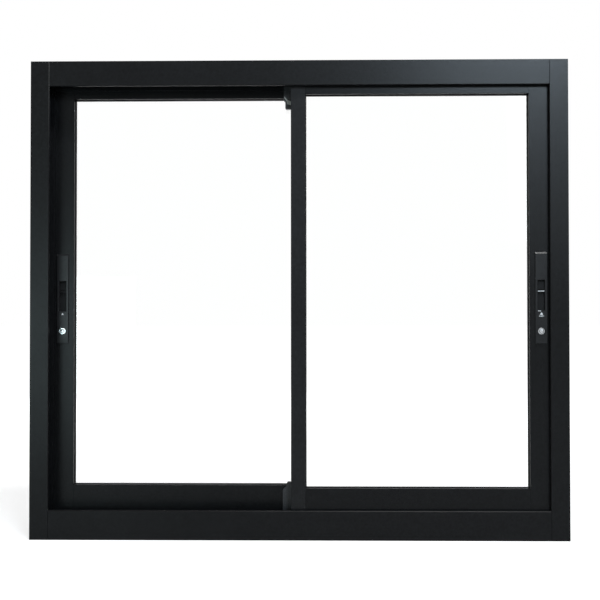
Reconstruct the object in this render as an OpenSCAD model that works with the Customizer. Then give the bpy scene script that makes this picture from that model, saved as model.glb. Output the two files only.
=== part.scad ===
// Two-track sliding window: fixed outer frame, two sliding sashes, flush locks.
// Room side is -Y, outside is +Y, +X to the right seen from the room, +Z up.

/* [Frame] */
// overall width of the frame
frame_w = 1100; // [800:1:2400]
// overall height of the frame
frame_h = 980; // [700:1:2000]
// depth of the frame, room face to outside face
frame_d = 100; // [97:1:130]
// width of the jamb seen from the front
jamb_w = 38; // [32:0.5:60]
// height of the head seen from the front
head_h = 51; // [46:0.5:80]
// height of the sill seen from the front
sill_h = 60; // [54:0.5:90]
// thickness of the hollow back of the jambs and head
back_t = 16; // [12:0.5:20]
// height of the hollow base of the sill
base_h = 22; // [16:0.5:26]
// thickness of the hollow front and rear legs
leg_t = 10; // [7:0.5:11]
// thickness of the leg between the two tracks
mid_t = 4; // [3:0.5:6]
// height of the leg between the two sill tracks
mid_h = 46; // [42:0.5:50]
// height of the rear leg of the sill
rear_h = 40; // [36:0.5:50]
// wall of the extruded profiles
wall = 1.6; // [1.2:0.1:2.4]
// bevel on the seen edges of the profiles
edge = 1; // [0.3:0.1:1.2]
// bevel on the edges of the sill legs
sill_edge = 1.4; // [0.3:0.1:1.5]
// bevel on the edges of the sash profiles
sash_edge = 0.4; // [0.2:0.1:1.2]
// outer radius of the screw ports in the head, sill and rails
port_r = 3.4; // [2.8:0.1:4]
// radius of the bore of the screw ports
port_bore = 1.9; // [1.5:0.05:2.4]
// radius of the screw holes that meet the ports
port_hole = 2.5; // [2.2:0.05:3]
// thickness of the web that joins a port to its wall
port_web = 1.6; // [1:0.1:2.4]
// distance of the frame ports from the legs
port_in = 8; // [5:0.5:12]
// radius of the frame fixing holes in the jambs
fix_r = 2.75; // [2:0.05:4]
// distance between the upper and lower fixing holes
fix_gap = 620; // [300:1:1600]

/* [Tracks] */
// distance between the two track centre lines
pitch = 42; // [40:1:50]
// thickness of the sill rail web
rail_t = 3; // [2:0.1:4]
// height of the rail top above the floor of the frame
rail_z = 40; // [38:0.5:43]
// radius of the round bead on top of the rail
bead_r = 2.5; // [2:0.1:2.6]
// how far the head fin reaches down from the top of the frame
fin_d = 37; // [34:0.5:40]
// thickness of the head fin
fin_t = 2; // [1.5:0.1:3]

/* [Sashes] */
// thickness of the sashes
sash_t = 30; // [26:1:32]
// width of the lock stile, the hidden edge included
stile_w = 55; // [52:0.5:80]
// how far the lock stile reaches into the jamb
stile_in = 14; // [8:0.5:18]
// depth of the open channel in the edge of the lock stile
edge_chan = 10; // [5:0.5:14]
// width of the meeting stile
meet_w = 31.5; // [28:0.5:45]
// height of the top rail seen below the head
top_seen = 17.5; // [15:0.5:40]
// how far the top rail reaches up into the head
top_in = 20; // [18:0.5:22]
// height of the bottom rail seen above the sill
bottom_seen = 45; // [40:0.5:90]
// height of the underside of the sash above the floor of the frame
sash_z = 32; // [30:0.5:34]
// depth of the open channel under the bottom rail
chan_d = 24; // [23:0.5:28]
// depth of the open channel in the top rail
top_chan = 16; // [14:0.5:17]
// depth of the glazing pocket
pocket = 12; // [11:0.5:16]
// width of the glazing strip seen beside the glass from the room
bead_w = 1.5; // [1:0.1:6]
// width of the glazing strip seen beside the glass from outside
bead_back = 5; // [3:0.1:6]
// half width of the notch that clears the sill rail
rail_notch = 6; // [4:0.5:8]
// half width of the notch that clears the head fin
fin_notch = 4; // [3:0.5:6]
// reach of the interlock hooks past the sash face
hook_out = 9.5; // [8:0.1:10]
// length of the interlock tips
hook_tip = 16; // [10:0.5:18]
// thickness of the interlock tips
hook_t = 1.5; // [1:0.1:2]

/* [Glazing] */
// thickness of the glass
glass_t = 5; // [4:0.5:8]
// how far the glass reaches into the pocket
glass_in = 9; // [7:0.5:10]
// thickness of the gaskets between glass and lip
gasket_t = 3.5; // [2.5:0.1:5]
// how far the gasket reaches under the lip
gasket_in = 2; // [1:0.1:3]
// thickness of the gasket at the sight line
gasket_toe = 1.5; // [0.5:0.1:3]
// height of the gasket shoulder on the end of the lip
gasket_rise = 4; // [2:0.1:5]
// length of the setting blocks under the glass
setting_l = 60; // [30:1:100]

/* [Rollers] */
// outer radius of the roller wheels
wheel_r = 8.5; // [7.5:0.1:9]
// radius of the wheel at the bottom of its groove
root_r = 6.5; // [5:0.1:7]
// width of the roller wheels
wheel_w = 8; // [7:0.5:10]
// width of the groove of the roller wheels
groove_w = 5.4; // [5.2:0.1:6]
// length of the roller housings
house_l = 56; // [40:1:80]
// distance from the sash edge to the roller axle
roller_in = 95; // [90:1:160]
// radius of the roller axle
axle_r = 1.5; // [1:0.1:2.5]
// clearance of the wheel in its housing
wheel_gap = 0.8; // [0.4:0.1:1]

/* [Locks] */
// length of the flush lock plate
plate_l = 187; // [150:1:240]
// width of the flush lock plate
plate_w = 25; // [22:0.5:30]
// how far the lock plate stands off the stile
plate_t = 3; // [2:0.1:3.5]
// bevel on the long edges of the lock plate
plate_side = 1; // [0.3:0.1:1.5]
// depth of the bevel on the upper end of the lock plate
plate_end = 2; // [0.5:0.1:2.5]
// height of the bevel on the upper end of the lock plate
plate_slope = 3.2; // [1:0.1:5]
// bevel on the lower end of the lock plate
plate_foot = 0.5; // [0.2:0.1:1.5]
// how far the plate reaches past the case at each end
plate_over = 13.5; // [8:0.5:20]
// height of the middle of the lock above the bottom of the frame
lock_z = 493; // [350:1:600]
// distance from the sight line of the jamb to the middle of the lock
lock_in = 16; // [14:0.5:20]
// depth of the lock case behind the stile face
case_d = 18; // [14:0.5:22]
// thickness of the walls of the lock case
case_wall = 2.5; // [1.5:0.1:3]
// width of the finger recess
recess_w = 14; // [12:0.5:16]
// length of the finger recess
recess_l = 62; // [50:1:70]
// height of the middle of the recess above the middle of the lock
recess_up = 5; // [0:0.5:10]
// bevel round the rim of the finger recess
recess_rim = 1; // [0.3:0.1:1.2]
// depth of the finger recess behind the stile face
recess_d = 7; // [6:0.5:9]
// height of the ridge of the thumb slide above the middle of the lock
ridge_up = 13; // [8:0.5:18]
// thickness of the ridge of the thumb slide
ridge_t = 3.5; // [2:0.1:5]
// how far the ridge of the thumb slide reaches in front of the stile face
ridge_out = 1.5; // [0.5:0.1:2]
// bevel on the upper edge of the ridge
ridge_cut = 1.3; // [0.4:0.1:1.8]
// radius of the round fixing screw
screw_r = 6.9; // [5:0.1:7.5]
// distance of the screw from the end of the plate
screw_in = 25.5; // [20:0.5:32]
// thickness of the latch bolt
bolt_t = 3; // [2:0.1:4]
// height of the latch bolt
bolt_h = 12; // [8:0.5:14]
// how far the tip of the latch reaches down behind the keeper
bolt_drop = 6; // [3:0.5:8]
// thickness of the keeper plates
keeper_t = 2; // [1.5:0.1:2.5]
// width of the keeper plates
keeper_w = 22; // [16:0.5:26]
// length of the keeper plates
keeper_l = 64; // [54:1:90]

/* [Fittings] */
// reach of the sill wind block to the left of the middle
sill_block_l = 33.5; // [29:0.5:50]
// reach of the head wind block to the left of the middle
head_block_l = 31; // [29:0.5:50]
// reach of the wind blocks to the right of the middle
block_rt = 14; // [10:0.5:15]
// radius of the round shoulder of the sill wind block
sill_block_r = 10; // [4:0.5:12]
// radius of the round shoulder of the head wind block
head_block_r = 2.5; // [1:0.5:8]
// height of the top of the sill wind block above the bottom of the frame
sill_block_top = 112; // [95:0.5:140]
// height of the narrow nose of the sill wind block
sill_nose = 10.5; // [6:0.5:20]
// reach of the nose of the sill wind block to the left of the middle
sill_nose_x = 25; // [20:0.5:27]
// how far the head wind block hangs below the head
head_block_drop = 40.5; // [32:0.5:60]
// height of the narrow nose of the head wind block
head_nose = 16.5; // [6:0.5:20]
// reach of the nose of the head wind block to the left of the middle
head_nose_x = 28; // [22:0.5:28.5]
// radius of the corner of the noses
nose_r = 3; // [1:0.5:3]
// how far the head wind block grips the leg above it
head_grip = 12; // [4:0.5:12]
// how far the sill wind block grips the leg under it
sill_grip = 2; // [1:0.5:2]
// width of the grooves in the wind blocks
rib_w = 2.2; // [1:0.1:2.5]
// distance between two grooves of the wind blocks
rib_pitch = 4.8; // [3:0.1:6]
// depth of the grooves in the wind blocks
rib_d = 1.2; // [0.4:0.1:1.5]
// width of the pile strips
pile_w = 5; // [3:0.5:6]
// distance of the pile strips from the hidden edge of the sash
pile_edge = 8; // [7:0.5:9]
// length of the drain slots in the rear leg of the sill
drain_l = 30; // [16:1:50]
// height of the drain slots
drain_h = 5; // [3:0.5:7]
// length of the anti-lift pads
stop_l = 40; // [20:1:80]
// height of the anti-lift pads
stop_h = 10; // [5:0.5:12]
// length of the closing pads in the jambs
buffer_l = 24; // [12:1:50]

/* [Hidden] */
$fn = 48;
// clearance of seated pieces and running clearance
fit = 0.3;
half_w = frame_w / 2;
half_d = frame_d / 2;
half_t = sash_t / 2;
sight = half_w - jamb_w;
pocket_x = half_w - back_t;
in_y = -pitch / 2;
out_y = pitch / 2;
face_gap = half_d - leg_t - pitch / 2 - half_t;
mid_gap = pitch / 2 - half_t - mid_t / 2;
port_y = half_d - leg_t - port_in;
head_z = frame_h - back_t;
head_low = frame_h - head_h;
sash_x = sight + stile_in;
stile_x = sash_x - stile_w;
meet_x = meet_w / 2;
sash_top = head_low + top_in;
glass_z0 = sill_h + bottom_seen;
glass_z1 = head_low - top_seen;
lip = glass_t / 2 + gasket_t;
lock_u = stile_in + lock_in;
case_l = plate_l - 2 * plate_over;
case_w = recess_w + 2 * case_wall;
axle_z = rail_z + root_r;
roof_z = sash_z + chan_d;
block_y = pitch / 2 - half_t - 0.5;
bolt_x = pocket_x + wall + 0.5;

module rect(a0, a1, b0, b1) {
    translate([a0, b0]) square([a1 - a0, b1 - b0]);
}

module block(x0, x1, y0, y1, z0, z1) {
    translate([x0, y0, z0]) cube([x1 - x0, y1 - y0, z1 - z0]);
}

// rectangle with bevelled corners
module bevel_rect(a0, a1, b0, b1, c) {
    polygon([[a0 + c, b0], [a1 - c, b0], [a1, b0 + c], [a1, b1 - c],
        [a1 - c, b1], [a0 + c, b1], [a0, b1 - c], [a0, b0 + c]]);
}

// a section in depth and height, drawn out from x0 to x1
module along_x(x0, x1) {
    translate([x0, 0, 0]) rotate([90, 0, 90]) linear_extrude(height = x1 - x0) children();
}

// a section in width and height, drawn out from y0 to y1
module along_y(y0, y1) {
    translate([0, y1, 0]) rotate([90, 0, 0]) linear_extrude(height = y1 - y0) children();
}

// a section in width and depth, drawn out from z0 to z1
module along_z(z0, z1) {
    translate([0, 0, z0]) linear_extrude(height = z1 - z0) children();
}

// round hole along x
module hole_x(x0, x1, y, z, r) {
    translate([x0, y, z]) rotate([0, 90, 0]) cylinder(r = r, h = x1 - x0);
}

module both_ends() {
    children();
    mirror([1, 0, 0]) children();
}

// round port for a corner screw, joined by a web to the wall at wall_z
module port(y, z, wall_z) {
    translate([y, z]) circle(r = port_r);
    rect(y - port_web / 2, y + port_web / 2, min(z, wall_z), max(z, wall_z));
}

// jamb section, x from the back of the frame inwards
module jamb_section() {
    difference() {
        union() {
            rect(0, back_t, -half_d, half_d);
            bevel_rect(0, jamb_w, -half_d, -half_d + leg_t, edge);
            rect(0, jamb_w, -mid_t / 2, mid_t / 2);
            bevel_rect(0, jamb_w, half_d - leg_t, half_d, edge);
        }
        rect(wall, jamb_w - wall, -half_d + wall, -half_d + leg_t - wall);
        rect(wall, jamb_w - wall, half_d - leg_t + wall, half_d - wall);
        rect(wall, back_t - wall, -half_d + leg_t, -wall / 2);
        rect(wall, back_t - wall, wall / 2, half_d - leg_t);
    }
}

// the part of a frame section that fits between the legs of the jamb
module between_legs() {
    difference() {
        children();
        rect(-half_d - 1, -half_d + leg_t + fit, -1, frame_h + 1);
        rect(-mid_t / 2 - fit, mid_t / 2 + fit, -1, frame_h + 1);
        rect(half_d - leg_t - fit, half_d + 1, -1, frame_h + 1);
    }
}

module head_section() {
    port_z = head_z + back_t / 2;
    difference() {
        union() {
            rect(-half_d, half_d, head_z, frame_h);
            bevel_rect(-half_d, -half_d + leg_t, head_low, frame_h, edge);
            rect(-mid_t / 2, mid_t / 2, head_low, frame_h);
            bevel_rect(half_d - leg_t, half_d, head_low, frame_h, edge);
            for (y = [in_y, out_y]) {
                rect(y - fin_t / 2, y + fin_t / 2, frame_h - fin_d, frame_h);
            }
        }
        rect(-half_d + wall, -half_d + leg_t - wall, head_low + wall, frame_h - wall);
        rect(half_d - leg_t + wall, half_d - wall, head_low + wall, frame_h - wall);
        difference() {
            union() {
                rect(-half_d + leg_t, -wall / 2, head_z + wall, frame_h - wall);
                rect(wall / 2, half_d - leg_t, head_z + wall, frame_h - wall);
            }
            port(-port_y, port_z, frame_h);
            port(port_y, port_z, frame_h);
        }
        translate([-port_y, port_z]) circle(r = port_bore);
        translate([port_y, port_z]) circle(r = port_bore);
    }
}

module sill_section() {
    port_z = base_h / 2;
    difference() {
        union() {
            rect(-half_d, half_d, 0, base_h);
            bevel_rect(-half_d, -half_d + leg_t, 0, sill_h, sill_edge);
            rect(-mid_t / 2, mid_t / 2, 0, mid_h);
            bevel_rect(half_d - leg_t, half_d, 0, rear_h, sill_edge);
            for (y = [in_y, out_y]) {
                rect(y - rail_t / 2, y + rail_t / 2, 0, rail_z - bead_r);
                translate([y, rail_z - bead_r]) circle(r = bead_r);
            }
        }
        rect(-half_d + wall, -half_d + leg_t - wall, wall, sill_h - wall);
        rect(half_d - leg_t + wall, half_d - wall, wall, rear_h - wall);
        difference() {
            union() {
                rect(-half_d + leg_t, -wall / 2, wall, base_h - wall);
                rect(wall / 2, half_d - leg_t, wall, base_h - wall);
            }
            port(-port_y, port_z, 0);
            port(port_y, port_z, 0);
        }
        translate([-port_y, port_z]) circle(r = port_bore);
        translate([port_y, port_z]) circle(r = port_bore);
    }
}

module frame_color() {
    color("#34363a") children();
}

module head() {
    frame_color() {
        along_x(-sight, sight) head_section();
        both_ends() along_x(sight, pocket_x) between_legs() head_section();
    }
}

module sill() {
    frame_color() difference() {
        union() {
            along_x(-sight, sight) sill_section();
            both_ends() along_x(sight, pocket_x) between_legs() sill_section();
        }
        at_drains() block(-drain_l / 2, drain_l / 2, half_d - leg_t - 1, half_d + 1, base_h, base_h + drain_h);
    }
}

module at_drains() {
    for (x = [-0.6, 0, 0.6]) {
        translate([x * sight, 0, 0]) children();
    }
}

// flaps that close the drain slots, flush with the outside face
module drain_covers() {
    color("#202124") at_drains()
        block(-drain_l / 2 + fit, drain_l / 2 - fit, half_d - leg_t + fit, half_d,
            base_h, base_h + drain_h - fit);
}

// the right jamb, with its latch slot on the track at track_y
module jamb(track_y) {
    difference() {
        translate([half_w, 0, 0]) mirror([1, 0, 0]) along_z(0, frame_h) jamb_section();
        for (y = [in_y, out_y], z = [-fix_gap / 2, fix_gap / 2]) {
            hole_x(pocket_x - 1, half_w + 1, y, frame_h / 2 + z, fix_r);
        }
        for (y = [-port_y, port_y], z = [base_h / 2, frame_h - back_t / 2]) {
            hole_x(pocket_x - 1, half_w + 1, y, z, port_hole);
        }
        block(pocket_x - 1, pocket_x + wall + 0.5, track_y - bolt_t, track_y + bolt_t,
            lock_z - bolt_h - bolt_drop, lock_z + bolt_h + bolt_drop);
    }
}

module left_jamb() {
    frame_color() mirror([1, 0, 0]) jamb(out_y);
}

module right_jamb() {
    frame_color() jamb(in_y);
}

// plate that the latch hooks behind
module keeper(track_y) {
    difference() {
        block(pocket_x - keeper_t, pocket_x, track_y - keeper_w / 2, track_y + keeper_w / 2,
            lock_z - keeper_l / 2, lock_z + keeper_l / 2);
        block(pocket_x - keeper_t - 1, pocket_x + 1, track_y - bolt_t, track_y + bolt_t,
            lock_z - bolt_h / 2 - fit, lock_z + bolt_h / 2 + bolt_drop + fit);
        for (z = [-keeper_l / 2 + 8, keeper_l / 2 - 8]) {
            hole_x(pocket_x - keeper_t - 1, pocket_x + 1, track_y, lock_z + z, port_bore);
        }
    }
}

module left_keeper() {
    color("#9b9da0") mirror([1, 0, 0]) keeper(out_y);
}

module right_keeper() {
    color("#9b9da0") keeper(in_y);
}

// outline of a wind block seen from the room, foot at the bottom and nose at the top
module block_outline(foot_z, top_z, nose, nose_x, left, r) {
    shoulder = top_z - nose;
    rect(-left, block_rt, foot_z, shoulder - r);
    rect(-left + r, block_rt, foot_z, shoulder);
    translate([-left + r, shoulder - r]) circle(r = r);
    rect(-nose_x, block_rt, shoulder - 1, top_z - nose_r);
    rect(-nose_x + nose_r, block_rt, shoulder - 1, top_z);
    translate([-nose_x + nose_r, top_z - nose_r]) circle(r = nose_r);
}

// block between the sashes, gripping the leg whose edge is at leg_z
module wind_block(leg_z, grip, top_z, nose, nose_x, left, r) {
    difference() {
        along_y(-block_y, block_y) block_outline(leg_z - grip, top_z, nose, nose_x, left, r);
        block(-left - 1, block_rt + 1, -mid_t / 2 - 0.1, mid_t / 2 + 0.1, leg_z - grip - 1, leg_z);
        for (i = [0 : 2], side = [-1, 1]) {
            translate([-left + rib_w + i * rib_pitch, side * block_y, 0])
                block(0, rib_w, -rib_d, rib_d, leg_z + 3, top_z - nose - r);
        }
    }
}

module sill_block() {
    color("#2a2b2d") wind_block(mid_h, sill_grip, sill_block_top, sill_nose, sill_nose_x,
        sill_block_l, sill_block_r);
}

module head_block() {
    color("#2a2b2d") translate([0, 0, head_low]) mirror([0, 0, 1])
        wind_block(0, head_grip, head_block_drop, head_nose, head_nose_x, head_block_l, head_block_r);
}

// pads over the sashes that stop them being lifted out
module head_stops() {
    color("#2a2b2d") for (y = [in_y, out_y], x = [-sight / 2, sight / 2], side = [-1, 1]) {
        translate([x, y, 0]) mirror([0, side > 0 ? 1 : 0, 0])
            block(-stop_l / 2, stop_l / 2, -fin_t / 2 - 7, -fin_t / 2, head_z - stop_h, head_z);
    }
}

// rubber pads in the jambs that the sashes close against
module jamb_buffers() {
    color("#1c1c1d") for (z = [0.25, 0.75]) {
        translate([0, 0, frame_h * z]) {
            block(sash_x + fit, pocket_x, in_y - 8, in_y + 8, -buffer_l / 2, buffer_l / 2);
            block(-pocket_x, -sash_x - fit, out_y - 8, out_y + 8, -buffer_l / 2, buffer_l / 2);
        }
    }
}

// glazing pocket cut, from the sight line at a = 0 to the pocket floor, room side at negative b
module pocket_cut() {
    rect(-pocket, 1, -lip, lip);
    rect(-pocket, -bead_w - wall, -half_t + wall, 0);
    rect(-bead_w, 1, -half_t - 1, 0);
    rect(-pocket, -bead_back - wall, 0, half_t - wall);
    rect(-bead_back, 1, 0, half_t + 1);
}

// lock stile section, x from its hidden edge to the sight line
module lock_stile_section() {
    difference() {
        bevel_rect(0, stile_w - bead_w, -half_t, half_t, sash_edge);
        rect(-1, edge_chan, -half_t + wall, half_t - wall);
        rect(edge_chan + wall, stile_w - pocket - wall, -half_t + wall, half_t - wall);
        translate([stile_w, 0]) pocket_cut();
    }
}

// meeting stile section, x from its free edge to the sight line
module meeting_stile_section() {
    difference() {
        bevel_rect(0, meet_w - bead_w, -half_t, half_t, sash_edge);
        rect(wall, meet_w - pocket - wall, -half_t + wall, half_t - wall);
        translate([meet_w, 0]) pocket_cut();
    }
}

// interlock hook on the far side of the meeting stile
module hook_section() {
    rect(0, wall, half_t - sash_edge - wall / 2, half_t + hook_out);
    rect(0, hook_tip + wall, half_t + hook_out - hook_t, half_t + hook_out);
}

// the ends of a stile cut back over the sill rail and the head fin
module stile_notches(x0, x1) {
    block(x0, x1, -rail_notch, rail_notch, sash_z - 1, roof_z);
    block(x0, x1, -fin_notch, fin_notch, sash_top - top_chan, sash_top + 1);
}

// heights of the screw ports in the rails
function bottom_port() = roof_z + wall + port_r;
function top_port() = sash_top - top_chan - wall - port_r;

module lock_stile() {
    case_x = sash_x - lock_u;
    difference() {
        translate([sash_x, 0, 0]) mirror([1, 0, 0]) along_z(sash_z, sash_top) lock_stile_section();
        stile_notches(stile_x - 1, sash_x + 1);
        // opening for the lock case
        block(case_x - case_w / 2 - fit, case_x + case_w / 2 + fit,
            -half_t - 1, -half_t + wall + 0.5, lock_z - case_l / 2 - fit, lock_z + case_l / 2 + fit);
        // opening for the latch bolt
        block(sash_x - edge_chan - wall - 0.5, sash_x - edge_chan + 0.5, -bolt_t, bolt_t,
            lock_z - bolt_h, lock_z + bolt_h);
        hole_x(stile_x - 1, sash_x + 1, 0, bottom_port(), port_hole);
        hole_x(stile_x - 1, sash_x + 1, 0, top_port(), port_hole);
    }
}

// meeting stile with its hook on the outside for side 1, on the room side for side -1
module meeting_stile(side) {
    translate([-meet_x, 0, 0]) {
        difference() {
            along_z(sash_z, sash_top) meeting_stile_section();
            stile_notches(-1, meet_w + 1);
            hole_x(-1, meet_w + 1, 0, bottom_port(), port_hole);
            hole_x(-1, meet_w + 1, 0, top_port(), port_hole);
        }
        mirror([0, side < 0 ? 1 : 0, 0])
            along_z(sill_block_top + 2, head_low - head_block_drop - 2) hook_section();
    }
}

// a rail section between the two stiles, a little longer where their outside lips are shorter
module rail_run() {
    along_x(meet_x - bead_w, stile_x + bead_w) children();
    along_x(meet_x - bead_back, stile_x + bead_back) intersection() {
        children();
        rect(0, half_t, 0, frame_h);
    }
}

module top_rail() {
    rail_run() difference() {
        bevel_rect(-half_t, half_t, glass_z1 + bead_w, sash_top, sash_edge);
        rect(-half_t + wall, half_t - wall, sash_top - top_chan, sash_top + 1);
        difference() {
            rect(-half_t + wall, half_t - wall, glass_z1 + pocket + wall, sash_top - top_chan - wall);
            port(0, top_port(), sash_top);
        }
        translate([0, top_port()]) circle(r = port_bore);
        translate([0, glass_z1]) rotate(-90) pocket_cut();
    }
}

module bottom_rail() {
    rail_run() difference() {
        bevel_rect(-half_t, half_t, sash_z, glass_z0 - bead_w, sash_edge);
        rect(-half_t + wall, half_t - wall, sash_z - 1, roof_z);
        difference() {
            rect(-half_t + wall, half_t - wall, roof_z + wall, glass_z0 - pocket - wall);
            port(0, bottom_port(), roof_z);
        }
        translate([0, bottom_port()]) circle(r = port_bore);
        translate([0, glass_z0]) rotate(90) mirror([0, 1]) pocket_cut();
    }
}

module glass() {
    block(meet_x - glass_in, stile_x + glass_in, -glass_t / 2, glass_t / 2,
        glass_z0 - glass_in, glass_z1 + glass_in);
}

module setting_blocks() {
    for (x = [0.25, 0.75]) {
        translate([meet_x + (stile_x - meet_x) * x, 0, 0])
            block(-setting_l / 2, setting_l / 2, -glass_t / 2, glass_t / 2,
                glass_z0 - pocket, glass_z0 - glass_in);
    }
}

// gasket section: distance in from the sight line, then depth from the middle of the glass
function gasket_points(bead) = [[0, glass_t / 2], [0, glass_t / 2 + gasket_toe], [-bead, lip + gasket_rise],
    [-bead, lip], [-bead - gasket_in, lip], [-bead - gasket_in, glass_t / 2]];

// one side of the gasket with mitred ends, lying along x with the glass above it
module gasket_side(x0, x1, bead) {
    out = bead + gasket_in;
    intersection() {
        along_x(x0 - out, x1 + out) polygon([for (p = gasket_points(bead)) [-p[1], p[0]]]);
        along_y(-half_t, half_t) polygon([[x0 - out, -out], [x1 + out, -out], [x1, 0], [x0, 0]]);
    }
}

// wedge gasket ring on the room side of the glass
module gasket(bead) {
    mid_z = (glass_z0 + glass_z1) / 2;
    mid_x = (meet_x + stile_x) / 2;
    half_x = (stile_x - meet_x) / 2;
    half_z = (glass_z1 - glass_z0) / 2;
    translate([mid_x, 0, mid_z]) {
        translate([0, 0, -half_z]) gasket_side(-half_x, half_x, bead);
        rotate([0, 180, 0]) translate([0, 0, -half_z]) gasket_side(-half_x, half_x, bead);
        rotate([0, 90, 0]) translate([0, 0, -half_x]) gasket_side(-half_z, half_z, bead);
        rotate([0, -90, 0]) translate([0, 0, -half_x]) gasket_side(-half_z, half_z, bead);
    }
}

module at_rollers() {
    for (x = [-meet_x + roller_in, sash_x - roller_in]) {
        translate([x, 0, axle_z]) children();
    }
}

// housing held up against the roof of the bottom channel, its axle in the middle
module roller_housings() {
    slot_y = wheel_w / 2 + wheel_gap;
    slot_x = wheel_r + wheel_gap;
    at_rollers() {
        difference() {
            block(-house_l / 2, house_l / 2, -half_t + wall + fit, half_t - wall - fit,
                rail_z + 2 - axle_z, roof_z - axle_z);
            block(-slot_x, slot_x, -slot_y, slot_y, -wheel_r - 5, wheel_r + wheel_gap / 2);
        }
        rotate([90, 0, 0]) translate([0, 0, -slot_y - 1]) cylinder(r = axle_r, h = 2 * slot_y + 2);
    }
}

// grooved wheels that run on the round top of the sill rail
module rollers() {
    at_rollers() rotate([90, 0, 0]) rotate_extrude() polygon([[axle_r + 0.2, -wheel_w / 2],
        [wheel_r, -wheel_w / 2], [wheel_r, -groove_w / 2], [root_r, -groove_w / 2],
        [root_r, groove_w / 2], [wheel_r, groove_w / 2], [wheel_r, wheel_w / 2], [axle_r + 0.2, wheel_w / 2]]);
}

// places a lock part: x across the lock, y from the stile face, z from the middle of the lock
module at_lock() {
    translate([sash_x - lock_u, -half_t, lock_z]) children();
}

module recess_box(y0, y1, gap) {
    block(-recess_w / 2 + gap, recess_w / 2 - gap, y0, y1,
        recess_up - recess_l / 2 + gap, recess_up + recess_l / 2 - gap);
}

// bevelled rim cut round the finger recess, wider towards the room
module recess_rim_cut() {
    w = recess_w / 2;
    low = recess_up - recess_l / 2;
    high = recess_up + recess_l / 2;
    reach = recess_rim + 1;
    intersection() {
        along_z(low - reach, high + reach) polygon([[-w - reach, -plate_t - 1], [w + reach, -plate_t - 1],
            [w, -plate_t + recess_rim], [-w, -plate_t + recess_rim]]);
        along_x(-w - reach, w + reach) polygon([[-plate_t - 1, low - reach], [-plate_t + recess_rim, low],
            [-plate_t + recess_rim, high], [-plate_t - 1, high + reach]]);
    }
}

module lock_plate() {
    at_lock() difference() {
        intersection() {
            along_z(-plate_l / 2, plate_l / 2) polygon([[-plate_w / 2, 0], [plate_w / 2, 0],
                [plate_w / 2, -plate_t + plate_side], [plate_w / 2 - plate_side, -plate_t],
                [-plate_w / 2 + plate_side, -plate_t], [-plate_w / 2, -plate_t + plate_side]]);
            along_x(-plate_w / 2, plate_w / 2) polygon([[0, -plate_l / 2], [0, plate_l / 2],
                [-plate_t + plate_end, plate_l / 2], [-plate_t, plate_l / 2 - plate_slope],
                [-plate_t, -plate_l / 2 + plate_foot], [-plate_t + plate_foot, -plate_l / 2]]);
        }
        recess_box(-plate_t - 1, 1, 0);
        recess_rim_cut();
        translate([0, 1, -plate_l / 2 + screw_in]) rotate([90, 0, 0])
            cylinder(r = screw_r + fit, h = plate_t + 2);
    }
}

module lock_case() {
    at_lock() difference() {
        block(-case_w / 2, case_w / 2, 0, case_d, -case_l / 2, case_l / 2);
        recess_box(-1, recess_d, 0);
        // slot that the latch bolt turns in
        block(-bolt_t, case_w / 2 + 1, half_t - bolt_t / 2 - 0.1, half_t + bolt_t / 2 + 0.1,
            -bolt_h, bolt_h);
    }
}

// thumb slide: a base with an upper pad, a ridge, a step and a lower pad
module lock_slide() {
    w = recess_w / 2 - fit;
    low = recess_up - recess_l / 2 + fit;
    high = recess_up + recess_l / 2 - fit;
    at_lock() {
        recess_box(recess_d - 2, recess_d, fit);
        block(-w, w, recess_d - 4, recess_d, low, ridge_up - 5);
        block(-w, w, recess_d - 4, recess_d, ridge_up - 3.2, ridge_up - 1.6);
        along_x(-w, w) polygon([[recess_d, ridge_up], [recess_d, ridge_up + ridge_t],
            [-ridge_out + ridge_cut, ridge_up + ridge_t], [-ridge_out, ridge_up + ridge_t - ridge_cut],
            [-ridge_out, ridge_up]]);
        block(-w, w, recess_d - 5, recess_d, ridge_up + ridge_t + 1.5, high - 4);
    }
}

// round chrome screw: a cup with a cross recess in the middle
module lock_screw() {
    h = plate_t + 0.6;
    at_lock() translate([0, 0, -plate_l / 2 + screw_in]) rotate([90, 0, 0]) difference() {
        rotate_extrude() polygon([[0, 0], [screw_r, 0], [screw_r, h - 0.8],
            [screw_r - 0.8, h], [screw_r - 2, h], [screw_r - 2.4, h - 0.8], [screw_r - 3, h - 0.8],
            [screw_r - 3, h], [0, h + 0.3]]);
        translate([0, 0, h - 0.9]) {
            block(-screw_r * 0.36, screw_r * 0.36, -0.5, 0.5, 0, 2);
            block(-0.5, 0.5, -screw_r * 0.36, screw_r * 0.36, 0, 2);
        }
    }
}

// latch bolt that reaches through the stile edge and down behind the keeper
module lock_hook() {
    tip_x = bolt_x + 4.5;
    translate([0, 0, lock_z]) {
        block(sash_x - lock_u, tip_x, -bolt_t / 2, bolt_t / 2, -bolt_h / 2, bolt_h / 2);
        block(bolt_x, tip_x, -bolt_t / 2, bolt_t / 2, -bolt_h / 2 - bolt_drop, 0);
    }
}

// pile strips on the hidden edges of one face, filling gap, the lower one at low_z
module pile_face(gap, low_z) {
    top0 = sash_top - 2 - pile_w;
    block(-meet_x, sash_x - pile_edge, -half_t - gap + fit, -half_t, top0, top0 + pile_w);
    block(-meet_x, sash_x - pile_edge, -half_t - gap + fit, -half_t, low_z, low_z + pile_w);
    block(sash_x - pile_edge, sash_x - pile_edge + pile_w, -half_t - gap + fit, -half_t,
        low_z + pile_w + 1, top0 - 1);
}

module inner_place() {
    translate([0, in_y, 0]) children();
}

// the outer sash is the same sash mirrored, with its lock still on the room side
module outer_place() {
    translate([0, out_y, 0]) mirror([1, 0, 0]) children();
}

module inner_lock_stile() {
    color("#303236") inner_place() lock_stile();
}

module inner_meeting_stile() {
    color("#303236") inner_place() meeting_stile(1);
}

module inner_top_rail() {
    color("#303236") inner_place() top_rail();
}

module inner_bottom_rail() {
    color("#303236") inner_place() bottom_rail();
}

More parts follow.
